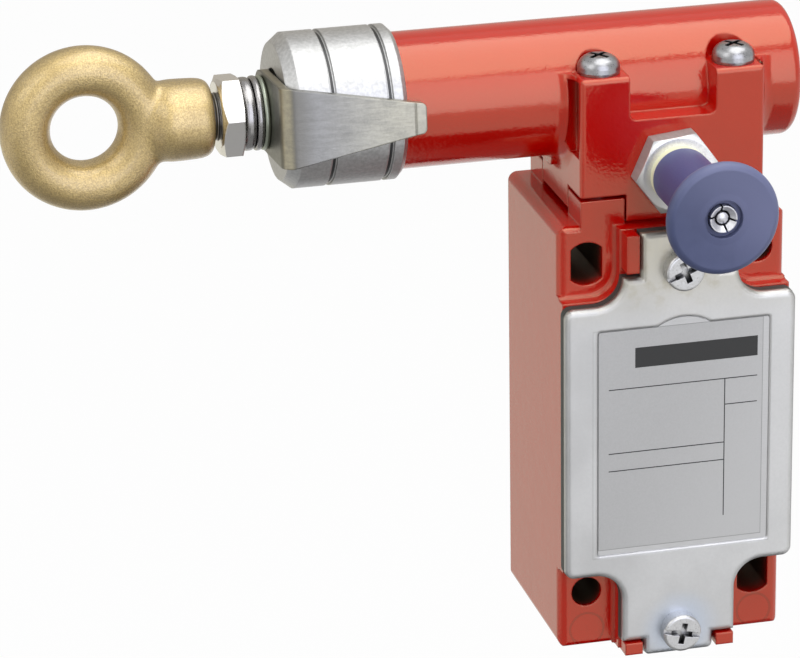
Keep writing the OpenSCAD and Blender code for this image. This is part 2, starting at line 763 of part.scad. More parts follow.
module lock_nut() color([0.8, 0.8, 0.8]) {
    flat_r = lock_nut_flats / 2;
    corner = flat_r / cos(30) + past;
    difference() {
        intersection() {
            translate([nut_x, axis_y, axis_z]) rotate([nut_turn, 0, 0]) rotate([0, 90, 0])
                rotate(90) linear_extrude(height = lock_nut_t) hexagon(lock_nut_flats);
            turned_x() polygon([[0, nut_x], [flat_r - nut_crown, nut_x],
                [flat_r + 0.1, nut_x + 0.35], [corner, nut_x + nut_chamfer],
                [corner, split_x - nut_crown], [flat_r, split_x], [0, split_x]]);
        }
        along_x(nut_x - past, split_x + past, thread_r + slide_gap);
    }
}
nut_turn = -8;
nut_crown = 0.5;
nut_chamfer = 1.2;

// Ring of the eye nut, with a boss that flares out of it and tapers a little to the nut
module eye_nut() color([0.75, 0.66, 0.42]) {
    boss_r = eye_boss_d / 2;
    section_r = eye_section_d / 2;
    root_x = eye_x + eye_ring_r - section_r * 0.3;
    flare_l = 5.2;
    round_r = 1.8;
    difference() {
        union() {
            translate([eye_x, axis_y, axis_z]) rotate([90, 0, 0]) rotate_extrude()
                translate([eye_ring_r, 0]) circle(section_r, $fn = 48);
            turned_x() polygon(concat([[0, root_x]],
                [for (i = [0:10]) let (a = 18 * i)
                    [section_r - 0.6 + (boss_r - section_r + 0.6) * (1 - cos(a)) / 2,
                        root_x + flare_l * i / 10]],
                arc(boss_r - 0.2 - round_r, boss_x - round_r, round_r, 4, 90, 8), [[0, boss_x]]));
        }
        along_x(thread_end_x - 0.5, boss_x + past, thread_r + slide_gap);
    }
}

// ---------- plunger and reset ----------

module plunger() color([0.5, 0.5, 0.52]) {
    flange_z = pocket_top - flange_t;
    difference() {
        translate([0, axis_y, 0]) union() {
            rotate_extrude() polygon(concat([[0, carrier_top], [stem_r, carrier_top], [stem_r, flange_z],
                [pocket_r - 0.4, flange_z], [pocket_r - 0.4, pocket_top], [plunger_r, pocket_top],
                [plunger_r, latch_z - latch_r - 0.1], [plunger_r - 1.3, latch_z - latch_r - 0.1],
                [plunger_r - 1.3, latch_z + latch_r + 0.1], [plunger_r, latch_z + latch_r + 0.1]],
                [for (i = [0:8]) let (a = 90 - dome_angle * (1 - i / 8))
                    [dome_r * cos(a), dome_z + dome_r * sin(a)]]));
        }
    }
}
dome_angle = asin(plunger_r / dome_r);

module plunger_spring() color([0.6, 0.6, 0.62]) {
    translate([0, axis_y, pocket_floor]) coil(plunger_coil_r, 0.5, pocket_top - flange_t - pocket_floor, 6);
}

plunger_coil_r = pocket_r - 1.8;

module reset_bush() color([0.72, 0.72, 0.72]) {
    corner = bush_flats / 2 / cos(30);
    front = pad_y - bush_hex_t;
    difference() {
        union() {
            intersection() {
                plate(front, pad_y) translate([0, knob_z]) rotate(6) hexagon(bush_flats);
                turned_y(0, knob_z, pad_y) polygon([[0, 0], [corner + past, 0],
                    [corner + past, bush_hex_t - bush_chamfer],
                    [bush_flats / 2 - 0.1, bush_hex_t], [0, bush_hex_t]]);
            }
            along_y(0, knob_z, pad_y - eps, bush_end_y, bush_r);
        }
        along_y(0, knob_z, front - past, bush_end_y + past, stem_r + slide_gap);
        along_y(0, knob_z, pad_y - 1, bush_end_y + past, collar_r + 0.1);
    }
}

bush_chamfer = 1.1;

// Seal ring on the stem, between the bush and the knob
module reset_wiper() color([0.95, 0.94, 0.75]) {
    front = pad_y - bush_hex_t - wiper_l;
    difference() {
        along_y(0, knob_z, front, pad_y - bush_hex_t, knob_neck_d / 2 - 0.05);
        along_y(0, knob_z, front - past, pad_y, stem_r + seat_gap);
    }
}
wiper_l = 1.4;

module reset_stem() color([0.7, 0.7, 0.7]) {
    tip_y = axis_y - plunger_r - 0.4;
    along_y(0, knob_z, stem_end_y, collar_y - 1, stem_r);
    along_y(0, knob_z, collar_y - 1, collar_y, collar_r - 0.1);
    along_y(0, knob_z, collar_y - eps, tip_y - 0.6, latch_r);
    translate([0, tip_y - 0.6, knob_z]) rotate([-90, 0, 0]) cylinder(h = 0.6, r1 = latch_r, r2 = 0.7);
}
stem_l = 16;
stem_end_y = pad_y - stem_l;

module reset_spring() color([0.6, 0.6, 0.62]) {
    translate([0, collar_y - 1, knob_z]) rotate([90, 0, 0])
        coil((stem_r + collar_r) / 2, 0.3, collar_y - pad_y, 7);
}

// Knob: a neck that flares to a round flange with a rounded rim and a dished face
module reset_knob() color([0.36, 0.36, 0.55]) {
    neck_r = knob_neck_d / 2;
    flange_r = knob_d / 2;
    front = knob_reach;
    back = bush_hex_t + wiper_l + 0.15;
    difference() {
        turned_y(0, knob_z, pad_y) polygon(concat([[0, back], [neck_r, back]],
            [for (i = [0:8]) let (a = 90 * i / 8)
                [neck_r + 2.6 * (1 - cos(a)), front - 7.4 + 3.6 * sin(a)]],
            [[flange_r - 1, front - 3.4]],
            arc(flange_r - 1.3, front - 1.9, 1.3, -40, 80, 8),
            [[4.4, front - face_dish], [0, front - face_dish]]));
        along_y(0, knob_z, stem_end_y, pad_y + past, stem_r);
        along_y(0, knob_z, pad_y - front - past, stem_end_y + past, socket_r);
        turned_y(0, knob_z, pad_y) translate([0, front - face_dish - 1.2]) square([recess_r, 2 * past]);
    }
}
socket_r = 2.4;
recess_r = 3.2;
face_dish = 0.9;

// Split sleeve in the face of the knob
split_front = pad_y - knob_reach + face_dish + 0.2;
funnel_t = 0.8;
split_bore = 1.3;
pin_r = split_bore - 0.33;
pin_dome = 0.35;

module knob_split_bush() color([0.8, 0.8, 0.82]) {
    difference() {
        along_y(0, knob_z, split_front, stem_end_y, socket_r - 0.1);
        along_y(0, knob_z, split_front - past, stem_end_y - 2, split_bore);
        turned_y(0, knob_z, split_front) polygon([[0, past], [split_bore + funnel_t + past, past],
            [split_bore - past, -funnel_t - past], [0, -funnel_t - past]]);
        for (a = [12, 75, 190, 262]) translate([0, pad_y - knob_reach - past, knob_z]) rotate([0, a, 0])
            translate([0, 0, -0.15]) cube([socket_r + past, 4, 0.3]);
    }
}

// Domed pin that spreads the split bush
module knob_pin() color([0.85, 0.85, 0.88]) {
    long = stem_end_y - 2 - split_front - funnel_t / 2;
    ball = (pin_r * pin_r + pin_dome * pin_dome) / 2 / pin_dome;
    turned_y(0, knob_z, stem_end_y - 2) polygon(concat([[0, 0], [pin_r, 0]],
        arc(0, long - ball, ball, 90 - asin(pin_r / ball), 90)));
}

// ---------- contact block ----------

block_half_h = block_h / 2;
block_front = -27;
chamber_half_w = block_half_w - 6.9;
chamber_top = 15;
chamber_bottom = -18.2;
strip_t = 0.8;
strip_half_d = 3;
nc_z = 9.4;
no_z = -12;
bridge_half_l = chamber_half_w - 1.2;
tip_r = 1.4;
tip_x = bridge_half_l - tip_r;
strip_inner = tip_x - tip_r;
carrier_half_w = strip_inner - 1.7;
tip_h = 0.6;
terminal_front = -24;
terminal_x = block_half_w - 3.3;
terminal_w = 5.4;
nc_screw_z = nc_z - 3.4;
no_screw_z = no_z + strip_t + 3.4;
bridge_half_d = 2.5;
nc_bridge_z = nc_z - 2 * tip_h - closed_gap - strip_t;
no_bridge_z = no_z + strip_t + 2 * tip_h + plunger_travel + seat_gap;

// Box whose depth is centred on the plunger axis
module centred_box(x0, x1, half_d, z0, z1) {
    box([x0, axis_y - half_d, z0], [x1, axis_y + half_d, z1]);
}

// One fixed contact: strip, riser, terminal plate with its tapped hole, and contact tip
module fixed_contact(side, z, up, screw_z) {
    mirror([side > 0 ? 0 : 1, 0, 0]) difference() {
        union() {
            centred_box(strip_inner, terminal_x + terminal_w / 2, strip_half_d, z, z + strip_t);
            box([terminal_x - terminal_w / 2, terminal_front, z],
                [terminal_x + terminal_w / 2, axis_y, z + strip_t]);
            box([terminal_x - terminal_w / 2, terminal_front, min(z, screw_z - 2.6)],
                [terminal_x + terminal_w / 2, terminal_front + strip_t, max(z + strip_t, screw_z + 2.6)]);
            translate([tip_x, axis_y, up > 0 ? z + strip_t - eps : z - tip_h])
                cylinder(h = tip_h + eps, r = tip_r, $fn = 24);
        }
        along_y(terminal_x, screw_z, terminal_front - past, terminal_front + 2, terminal_r + thread_gap);
    }
}
terminal_r = 1.4;

module nc_contacts() color([0.8, 0.6, 0.3]) {
    for (s = [-1, 1]) fixed_contact(s, nc_z, -1, nc_screw_z);
}

module no_contacts() color([0.8, 0.6, 0.3]) {
    for (s = [-1, 1]) fixed_contact(s, no_z, 1, no_screw_z);
}

pocket_half_h = 3.4;
block_sink = 12;
block_screw_l = 13;
block_screw_r = 1.3;

module contact_block() color([0.2, 0.22, 0.26]) {
    difference() {
        box([-block_half_w, block_front, -block_half_h], [block_half_w, block_back, block_half_h]);
        // chamber for the bridges and channel for the carrier
        box([-chamber_half_w, block_front - past, chamber_bottom],
            [chamber_half_w, block_back - 4, chamber_top]);
        centred_box(-carrier_half_w - 0.4, carrier_half_w + 0.4, 4.2, 0, block_half_h + past);
        // seats of the fixed contacts and open terminal pockets
        for (s = [-1, 1], z = [nc_z, no_z]) mirror([s > 0 ? 0 : 1, 0, 0])
            box([strip_inner - past, block_front - past, z],
                [terminal_x + terminal_w / 2, axis_y + strip_half_d, z + strip_t]);
        for (s = [-1, 1], z = [nc_screw_z, no_screw_z]) {
            mirror([s > 0 ? 0 : 1, 0, 0])
                box([terminal_x - terminal_w / 2, block_front - past, z - pocket_half_h],
                    [block_half_w + past, terminal_front + strip_t, z + pocket_half_h]);
            along_y(s * terminal_x, z, block_front, terminal_front + 7, terminal_r + thread_gap);
        }
        for (s = [-1, 1]) {
            along_y(s * block_screw_x, s * block_screw_z, block_front - past, block_back + past,
                block_screw_r + seat_gap);
            along_y(s * block_screw_x, s * block_screw_z, block_front - past, block_front + block_sink,
                2 * block_screw_r + 0.2);
        }
    }
}

module block_lid() color([0.75, 0.75, 0.7]) {
    box([-chamber_half_w - 1, block_front - 1.2, chamber_bottom - 1],
        [chamber_half_w + 1, block_front, chamber_top + 2]);
}

module contact_carrier() color([0.85, 0.82, 0.72]) {
    half_d = 3.6;
    difference() {
        centred_box(-carrier_half_w, carrier_half_w, half_d, chamber_bottom + plunger_travel + 0.5,
            carrier_top);
        for (low = [nc_bridge_z + strip_t - window_h, no_bridge_z])
            centred_box(-carrier_half_w - past, carrier_half_w + past, bridge_half_d, low, low + window_h);
    }
}
window_h = 4.8;

module moving_bridges() color([0.8, 0.55, 0.3]) {
    bridge(nc_bridge_z, 1);
    bridge(no_bridge_z, -1);
}

// Bridge with a contact tip at each end
module bridge(z, up) {
    centred_box(-bridge_half_l, bridge_half_l, bridge_half_d, z, z + strip_t);
    for (s = [-1, 1]) translate([s * tip_x, axis_y, up > 0 ? z + strip_t - eps : z - tip_h])
        cylinder(h = tip_h + eps, r = tip_r, $fn = 24);
}

module bridge_springs() color([0.6, 0.6, 0.62]) {
    height = window_h - strip_t;
    for (z = [nc_bridge_z - height, no_bridge_z + strip_t])
        translate([0, axis_y, z]) coil(1.8, 0.25, height, 4, 6, 12);
}

clamp_half = 2.3;
clamp_t = 0.9;

module terminal_clamps() color([0.75, 0.75, 0.75]) {
    for (s = [-1, 1], z = [nc_screw_z, no_screw_z]) difference() {
        box([s * terminal_x - clamp_half, terminal_front - clamp_t, z - clamp_half],
            [s * terminal_x + clamp_half, terminal_front, z + clamp_half]);
        along_y(s * terminal_x, z, terminal_front - 2, terminal_front + past, terminal_r + 0.1);
    }
}

module terminal_screws() color([0.8, 0.8, 0.8]) {
    for (s = [-1, 1], z = [nc_screw_z, no_screw_z])
        slotted_screw(s * terminal_x, z, terminal_front - clamp_t, 6, terminal_r, clamp_half + 0.1, 1.6);
}

// Plain screw along Y with a slot in its head
module slotted_screw(x, z, seat, length, shank, head_r, head_h) {
    difference() {
        union() {
            along_y(x, z, seat - eps, seat + length, shank);
            along_y(x, z, seat - head_h, seat, head_r);
        }
        translate([x - head_r - past, seat - head_h - past, z - 0.35])
            cube([2 * head_r + 2 * past, past + 0.8, 0.7]);
    }
}

module block_screws() color([0.8, 0.8, 0.8]) {
    for (s = [-1, 1])
        slotted_screw(s * block_screw_x, s * block_screw_z, block_front + block_sink, block_screw_l,
            block_screw_r, 2 * block_screw_r, 1.8);
}

module earth_clamp() color([0.8, 0.7, 0.4]) {
    difference() {
        box([-earth_half, earth_boss - 1, earth_z - earth_half],
            [earth_half, earth_boss, earth_z + earth_half]);
        along_y(0, earth_z, earth_boss - 2, earth_boss + past, 2);
    }
}

earth_half = 3.4;

module earth_screw() color([0.3, 0.6, 0.35]) {
    slotted_screw(0, earth_z, earth_boss - 1, 4.4, 1.8, 3.1, 2.2);
}

body_casting();
cover_gasket();
cover_plate();
rating_plate();
cover_screws();
head_gasket();
head_casting();
head_screws();
end_cap();
rod_wiper();
spring_seat();
main_spring();
pull_rod();
cam_sleeve();
tension_pointer();
tinted_washer();
flat_washer();
spring_washer();
lock_nut();
eye_nut();
plunger();
plunger_spring();
reset_bush();
reset_wiper();
reset_stem();
reset_spring();
reset_knob();
knob_split_bush();
knob_pin();
contact_block();
block_lid();
contact_carrier();
moving_bridges();
bridge_springs();
nc_contacts();
no_contacts();
terminal_clamps();
terminal_screws();
block_screws();
earth_clamp();
earth_screw();
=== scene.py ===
"""Rope pull switch: the finish of its cast, plated and moulded pieces, its springs, the studio."""
import json
import math

import bpy
from mathutils import Matrix, Vector


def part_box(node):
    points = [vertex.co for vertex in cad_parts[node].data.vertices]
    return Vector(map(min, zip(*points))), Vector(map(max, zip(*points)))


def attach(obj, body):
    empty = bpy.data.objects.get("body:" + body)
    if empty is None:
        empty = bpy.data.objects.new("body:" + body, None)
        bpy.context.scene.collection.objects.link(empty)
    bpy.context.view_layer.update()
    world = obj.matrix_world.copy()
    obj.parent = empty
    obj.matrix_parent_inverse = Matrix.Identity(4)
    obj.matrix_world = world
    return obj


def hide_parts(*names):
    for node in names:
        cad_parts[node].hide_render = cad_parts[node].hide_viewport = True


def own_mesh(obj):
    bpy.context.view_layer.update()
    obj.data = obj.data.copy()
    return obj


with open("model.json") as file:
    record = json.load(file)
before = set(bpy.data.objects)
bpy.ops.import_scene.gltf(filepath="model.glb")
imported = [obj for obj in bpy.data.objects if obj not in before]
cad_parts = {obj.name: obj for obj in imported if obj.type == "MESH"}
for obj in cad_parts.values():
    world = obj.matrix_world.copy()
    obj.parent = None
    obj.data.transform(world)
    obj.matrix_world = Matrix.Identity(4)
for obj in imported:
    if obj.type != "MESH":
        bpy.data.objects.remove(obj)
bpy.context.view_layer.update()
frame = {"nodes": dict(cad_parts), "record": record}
NODES = frame["nodes"]
MM = 0.001


# ---------- camera ----------

CAMERA_PLACE = (-199.84, -661.27, 266.17)           # millimetres
HEADING, DIP, ROLL = 13.619, 20.666, -0.946         # degrees
SENSOR_WIDTH, LENS = 36, 187.40565                  # millimetres


def aim_camera():
    """Puts a long lens at its place and turns it by its heading, dip and roll."""
    heading, dip, roll = (math.radians(angle) for angle in (HEADING, DIP, ROLL))
    level = math.cos(dip)
    look = Vector((math.sin(heading) * level, math.cos(heading) * level, -math.sin(dip)))
    side = Vector((math.cos(heading), -math.sin(heading), 0))
    up = side.cross(look)
    right = side * math.cos(roll) + up * math.sin(roll)
    upright = up * math.cos(roll) - side * math.sin(roll)
    data = bpy.data.cameras.new("camera")
    data.sensor_width = SENSOR_WIDTH
    data.lens = LENS
    data.clip_start = 0.01
    camera = bpy.data.objects.new("camera", data)
    bpy.context.scene.collection.objects.link(camera)
    turn = Matrix((right, upright, -look)).transposed().to_4x4()
    camera.matrix_world = Matrix.Translation(Vector(CAMERA_PLACE) * MM) @ turn
    bpy.context.scene.camera = camera


aim_camera()


# ---------- shader maths ----------

class Link:
    """A shader socket that adds Math nodes when it is used in an expression."""

    def __init__(self, tree, socket):
        self.tree = tree
        self.socket = socket

    def _math(self, operation, *values):
        return self.tree.node("ShaderNodeMath", {"operation": operation}, dict(enumerate(values)))

    def __add__(self, other):
        return self._math("ADD", self, other)

    __radd__ = __add__

    def __sub__(self, other):
        return self._math("SUBTRACT", self, other)

    def __rsub__(self, other):
        return self._math("SUBTRACT", other, self)

    def __mul__(self, other):
        return self._math("MULTIPLY", self, other)

    __rmul__ = __mul__

    def __truediv__(self, other):
        return self._math("DIVIDE", self, other)

    def __gt__(self, other):
        return self._math("GREATER_THAN", self, other)

    def larger(self, other):
        return self._math("MAXIMUM", self, other)

    def fraction(self):
        return self._math("FRACT", self)

    def root(self):
        return self._math("SQRT", self)

    def clamp(self):
        return self.tree.node("ShaderNodeClamp", {}, {"Value": self})

    def near(self, centre, half):
        """1 within half of the centre, 0 outside."""
        return self._math("COMPARE", self, centre, half)

    def between(self, low, high):
        """1 from low to high, 0 outside."""
        return self.near((low + high) / 2, (high - low) / 2)

    def smooth(self, low, high):
        """0 below low, 1 above high, with an eased ramp between."""
        return self.tree.node("ShaderNodeMapRange", {"interpolation_type": "SMOOTHSTEP"},
                              {"Value": self, "From Min": low, "From Max": high})


class Tree:
    """The nodes of a material or a world, all made by one method."""

    def __init__(self, owner):
        owner.use_nodes = True
        self.nodes = owner.node_tree.nodes
        self.links = owner.node_tree.links

    def feed(self, target, value):
        """Links or sets an input socket; a colour is given by its three parts."""
        if isinstance(value, Link):
            self.links.new(value.socket, target)
        elif target.type == "RGBA":
            target.default_value = (*value, 1)
        else:
            target.default_value = value

    def node(self, kind, settings, inputs, output=0):
        """Makes a node, sets it up, fills its inputs and returns one of its outputs."""
        made = self.nodes.new(kind)
        for key, value in settings.items():
            setattr(made, key, value)
        for key, value in inputs.items():
            self.feed(made.inputs[key], value)
        return Link(self, made.outputs[output])


class Paint(Tree):
    """One material with a Principled shader, patterned in millimetres on object coordinates."""

    def __init__(self, name, color, rough, metal=0.0, **more):
        self.material = bpy.data.materials.new(name)
        self.material.diffuse_color = (*color, 1)
        super().__init__(self.material)
        self.shader = self.nodes["Principled BSDF"]
        self.put("Base Color", color)
        self.put("Roughness", rough)
        self.put("Metallic", metal)
        for socket, value in more.items():
            self.put(socket.replace("_", " "), value)

    def put(self, socket, value):
        """Sets or links a socket of the Principled shader."""
        self.feed(self.shader.inputs[socket], value)

    def place(self):
        """Object coordinates in millimetres."""
        here = self.node("ShaderNodeTexCoord", {}, {}, "Object")
        return self.node("ShaderNodeVectorMath", {"operation": "SCALE"}, {0: here, "Scale": 1 / MM})

    def axes(self):
        """Object coordinates along X, Y and Z, one by one."""
        split = self.node("ShaderNodeSeparateXYZ", {}, {0: self.place()}).socket.node
        return [Link(self, socket) for socket in split.outputs]

    def noise(self, size, detail=2.0, stretch=(1, 1, 1), rough=0.5):
        """Noise with features of about the given size in millimetres."""
        spot = self.node("ShaderNodeVectorMath", {"operation": "MULTIPLY"},
                         {0: self.place(), 1: tuple(share / size for share in stretch)})
        return self.node("ShaderNodeTexNoise", {},
                         {"Vector": spot, "Scale": 1.0, "Detail": detail, "Roughness": rough})

    def mix(self, factor, first, second):
        """A blend of two colours."""
        inputs = {0: factor, 6: first, 7: second}
        return self.node("ShaderNodeMix", {"data_type": "RGBA"}, inputs, 2)

    def rounded(self, edge):
        """The surface with its edges rounded to the given radius in millimetres."""
        return self.node("ShaderNodeBevel", {"samples": 6}, {"Radius": edge * MM})

    def soften(self, edge):
        """Rounds the edges to the given radius in millimetres."""
        self.put("Normal", self.rounded(edge))

    def bump(self, height, depth, edge=0.0):
        """Bump of the given depth in millimetres, over edges rounded to the given radius."""
        inputs = {"Height": height, "Distance": depth * MM, "Strength": 1.0}
        if edge:
            inputs["Normal"] = self.rounded(edge)
        self.put("Normal", self.node("ShaderNodeBump", {}, inputs))

    def hollow(self, reach, low=0.3, high=0.8, local=True):
        """1 deep in a recess narrower than the reach in millimetres, 0 in the open, read from
        ambient occlusion; the finishes use it to paint shade into recesses.
        """
        open_sky = self.node("ShaderNodeAmbientOcclusion", {"samples": 12, "only_local": local},
                             {"Distance": reach * MM}, 1)
        return 1 - open_sky.smooth(low, high)


def distance(across, up):
    """How far a point lies from an axis, from its two offsets."""
    return (across * across + up * up).root()


def panel(x, z, left, right, bottom, top, grow=0.0):
    """1 inside an upright rectangle, 0 outside."""
    return x.between(left - grow, right + grow) * z.between(bottom - grow, top + grow)


# ---------- places that the finishes follow, in millimetres ----------

def extent(node, axis):
    """The lowest and the highest place of a node along an axis."""
    return [corner["xyz".index(axis)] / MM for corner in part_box(node)]


PAD_Y = -31.6                                       # face of the fixing pads
HOLE_X, HOLE_Z = 15, 30                             # fixing holes, from the middle of their pattern
HOLE_ZONE_X, HOLE_ZONE_Z = 5, 6                     # half the window that holds one of them
EJECTORS, EJECTOR_R = ((-14.9, -37.1), (15.3, -37.1)), 3.0
COVER_SCREW_PITCH = 66
LOWER_SCREW_Z = (sum(extent("cover_screws", "z")) - COVER_SCREW_PITCH) / 2
GROOVES = (-56.75, -47.25)                          # the two grooves of the end cap, painted dark as shade
PLATE_X = extent("tension_pointer", "x")[0]         # rope side of the pointer's plate
THREAD_PITCH = 1.5
THREAD_END = extent("lock_nut", "x")[0]
BUSH_FRONT = extent("reset_bush", "y")[0]
KNOB_Z = sum(extent("reset_knob", "z")) / 2
NECK_Y, NECK_FADE = PAD_Y - 20, 3                   # where the knob's face gives way to its neck

FILM_LEFT, FILM_RIGHT = extent("rating_plate", "x")
FILM_BOTTOM = extent("rating_plate", "z")[0]
FILM_TOP = extent("rating_plate", "z")[1] - 1.4     # top edge of the print, below the rim

# print on the film: starts and ends are shares of its width, depths are below its top edge
BAND = (0.22, 0.97, 3.3, 6.9)
RULES = ((0.06, 0.97, 10.5), (0.77, 0.97, 15.2), (0.06, 0.77, 22.1), (0.06, 0.77, 25.3))
HALF_RULE = 0.09
COLUMN, COLUMN_TOP, COLUMN_END = 0.77, RULES[0][2], 35.6


# ---------- finishes ----------

def red_enamel():
    """Glossy red enamel over a cast surface: a slow ripple and a fine orange peel, the rings of
    the ejectors on the lower pads, and painted shade, near black and rough, on the walls of the
    fixing holes."""
    paint = Paint("red_enamel", (0.56, 0.001, 0), 0.10, IOR=1.82, Specular_Tint=(1.0, 0.87, 0.58))
    x, y, z = paint.axes()
    ripple = paint.noise(3.2, 1.0)
    peel = paint.noise(0.5, 2.0)
    cloud = paint.noise(9.0, 2.0)
    base = paint.mix(cloud, (0.54, 0.0003, 0), (0.60, 0.003, 0.0003))
    rings = sum(distance(x - across, z - up).near(EJECTOR_R, 0.2) for across, up in EJECTORS)
    marks = rings * y.near(PAD_Y, 0.3)
    base = paint.mix(marks * 0.5, base, (0.30, 0.001, 0))
    beside = x.near(-HOLE_X, HOLE_ZONE_X) + x.near(HOLE_X, HOLE_ZONE_X)
    level = z.near(-HOLE_Z, HOLE_ZONE_Z) + z.near(HOLE_Z, HOLE_ZONE_Z)
    # painted shade: the walls of the fixing holes, found by occlusion, are painted near black
    hole_shade = paint.hollow(8.0, 0.25, 0.6) * beside * level * (y > PAD_Y + 0.6)
    paint.put("Base Color", paint.mix(hole_shade, base, (0.02, 0.008, 0.004)))
    paint.put("Roughness", 0.08 + peel * 0.08 + hole_shade * 0.4)
    paint.bump(ripple * 2.4 + peel * 2.3 - marks * 4.0, 0.011, edge=0.45)
    return paint


def satin_zinc():
    """Bright zinc sheet, with painted light that makes it lighter towards the right, warm near the
    top and bluish round the lower screw, with a groove pressed round the rating plate."""
    paint = Paint("satin_zinc", (0.62, 0.62, 0.60), 0.36, 1.0)
    x, _, z = paint.axes()
    grain = paint.noise(0.45, 3.0)
    cloud = paint.noise(11.0, 3.0)
    base = paint.mix(cloud.smooth(0.3, 0.7), (0.50, 0.50, 0.495), (0.58, 0.58, 0.575))
    # painted light: the sheet grows lighter towards the right
    base = paint.mix(x.smooth(-10, 22) * 0.5, base, (0.66, 0.66, 0.65))
    stain = paint.noise(2.6, 3.0, rough=0.6)
    base = paint.mix(z.smooth(18, 34), base, (0.49, 0.465, 0.385))
    base = paint.mix(z.smooth(20, 28) * stain.smooth(0.5, 0.7) * 0.5, base, (0.40, 0.36, 0.26))
    halo = 1 - (distance(x, z - LOWER_SCREW_Z) + cloud * 4.0).smooth(5.0, 10.0)
    base = paint.mix(halo * 0.7, base, (0.50, 0.57, 0.68))
    edges = (FILM_LEFT - 0.9, FILM_RIGHT + 0.3, FILM_BOTTOM - 0.4, FILM_TOP + 0.2)
    groove = panel(x, z, *edges, grow=0.15) - panel(x, z, *edges)
    paint.put("Base Color", paint.mix(grain * 0.3 + groove * 0.5, base, (0.42, 0.42, 0.41)))
    paint.put("Roughness", 0.30 + grain * 0.16)
    paint.bump(grain + cloud * 2.0 - groove * 8.0, 0.010, edge=0.7)
    return paint


def bright_plate():
    """Bright zinc plating of the inner parts."""
    paint = Paint("bright_plate", (0.62, 0.62, 0.61), 0.24, 1.0)
    paint.put("Roughness", 0.18 + paint.noise(0.4, 2.0) * 0.14)
    paint.soften(0.15)
    return paint


def screw_steel(name, dull, bright):
    """Plated steel of a screw, with painted shade in the recess of its head."""
    paint = Paint(name, bright, 0.3, 1.0)
    grain = paint.noise(0.35, 3.0)
    base = paint.mix(grain, dull, bright)
    # painted shade: the recess of the head, found by occlusion, is painted near black
    recess = paint.hollow(1.6, 0.2, 0.75)
    paint.put("Base Color", paint.mix(recess * 0.95, base, (0.012, 0.012, 0.012)))
    paint.put("Roughness", 0.22 + grain * 0.16)
    paint.soften(0.15)
    return paint


def washer_steel():
    """Zinc-plated washers, with painted shade where two of them meet."""
    paint = Paint("washer_steel", (0.44, 0.43, 0.42), 0.26, 1.0)
    grain = paint.noise(0.4, 2.0)
    base = paint.mix(grain, (0.28, 0.275, 0.27), (0.40, 0.39, 0.385))
    # painted shade: where one washer lies close on another, found by occlusion, is painted near
    # black
    seam_shade = paint.hollow(0.35, 0.3, 0.7, local=False)
    paint.put("Base Color", paint.mix(seam_shade * 0.85, base, (0.03, 0.03, 0.03)))
    paint.put("Roughness", 0.2 + grain * 0.14)
    paint.soften(0.12)
    return paint


def threaded_steel():
    """Plated rod with a rolled thread between the eye and the nut; the thread is a bump, with
    painted shade in its roots.
    """
    # root is painted shade: the colour of the thread's roots
    plain, root = (0.55, 0.54, 0.52), (0.03, 0.03, 0.03)
    paint = Paint("threaded_steel", plain, 0.28, 1.0)
    x, _, _ = paint.axes()
    turn = (x / THREAD_PITCH).fraction()
    crest = turn.smooth(0.0, 0.5) - turn.smooth(0.5, 1.0)
    on_thread = 1 - x.smooth(THREAD_END - 0.4, THREAD_END)
    # painted shade in the roots of the thread
    paint.put("Base Color", paint.mix((1 - crest) * on_thread * 0.9, plain, root))
    paint.put("Roughness", 0.24 + paint.noise(0.5, 2.0) * 0.14)
    paint.bump(crest * on_thread, 0.35)
    return paint


def cast_grey():
    """Die-cast cap: a fine crystalline grain, and painted shade in its grooves."""
    paint = Paint("cast_grey", (0.50, 0.50, 0.495), 0.45, 1.0)
    x, _, _ = paint.axes()
    speck = paint.noise(0.6, 3.0, rough=0.6)
    cloud = paint.noise(5.0, 3.0)
    base = paint.mix(speck.smooth(0.25, 0.75), (0.40, 0.40, 0.395), (0.57, 0.57, 0.565))
    base = paint.mix(cloud * 0.4, base, (0.48, 0.48, 0.47))
    # painted shade: the two grooves are painted near black
    groove_shade = sum(x.near(groove, 0.24) for groove in GROOVES)
    paint.put("Base Color", paint.mix(groove_shade, base, (0.07, 0.07, 0.07)))
    paint.put("Roughness", 0.38 + speck * 0.12)
    paint.bump(speck, 0.016, edge=0.3)
    return paint


def pointer_sheet():
    """Dull zinc sheet: olive on its plate, a painted tan highlight at the bend, a painted dark
    reflection behind the bend, and grey to yellowish along its arm."""
    paint = Paint("pointer_sheet", (0.38, 0.38, 0.35), 0.42, 1.0)
    x, _, _ = paint.axes()
    grain = paint.noise(0.45, 3.0, rough=0.65)
    cloud = paint.noise(3.0, 3.0)
    scratch = paint.noise(1.6, 3.0, (0.35, 1, 2.2), 0.7)
    arm = paint.mix(x.smooth(-62, -44), (0.255, 0.255, 0.25), (0.41, 0.395, 0.325))
    # painted reflection: a dark band behind the bend, and a painted tan highlight at the bend
    bend_dark_reflection = 1 - x.smooth(PLATE_X + 2.4, PLATE_X + 6.5)
    bend = 1 - x.smooth(PLATE_X + 1.2, PLATE_X + 2.2)
    plate = 1 - x.smooth(PLATE_X + 0.1, PLATE_X + 0.5)
    base = paint.mix(bend_dark_reflection, arm, (0.17, 0.165, 0.15))
    base = paint.mix(bend, base, (0.44, 0.40, 0.29))
    base = paint.mix(plate * 0.85, base, (0.155, 0.155, 0.135))
    worn = cloud.smooth(0.4, 0.75) * 0.25
    worn = worn + scratch.smooth(0.35, 0.65) * 0.2 + grain.smooth(0.35, 0.65) * 0.15
    paint.put("Base Color", paint.mix(worn, base, (0.17, 0.17, 0.16)))
    paint.put("Roughness", 0.28 + scratch * 0.18 + grain * 0.06)
    paint.bump(grain + scratch * 1.5, 0.016, edge=0.35)
    return paint


def tinted_plate():
    """Thin greenish washer between the pointer and the plain washer."""
    paint = Paint("tinted_plate", (0.33, 0.36, 0.29), 0.36, 1.0)
    paint.soften(0.2)
    return paint


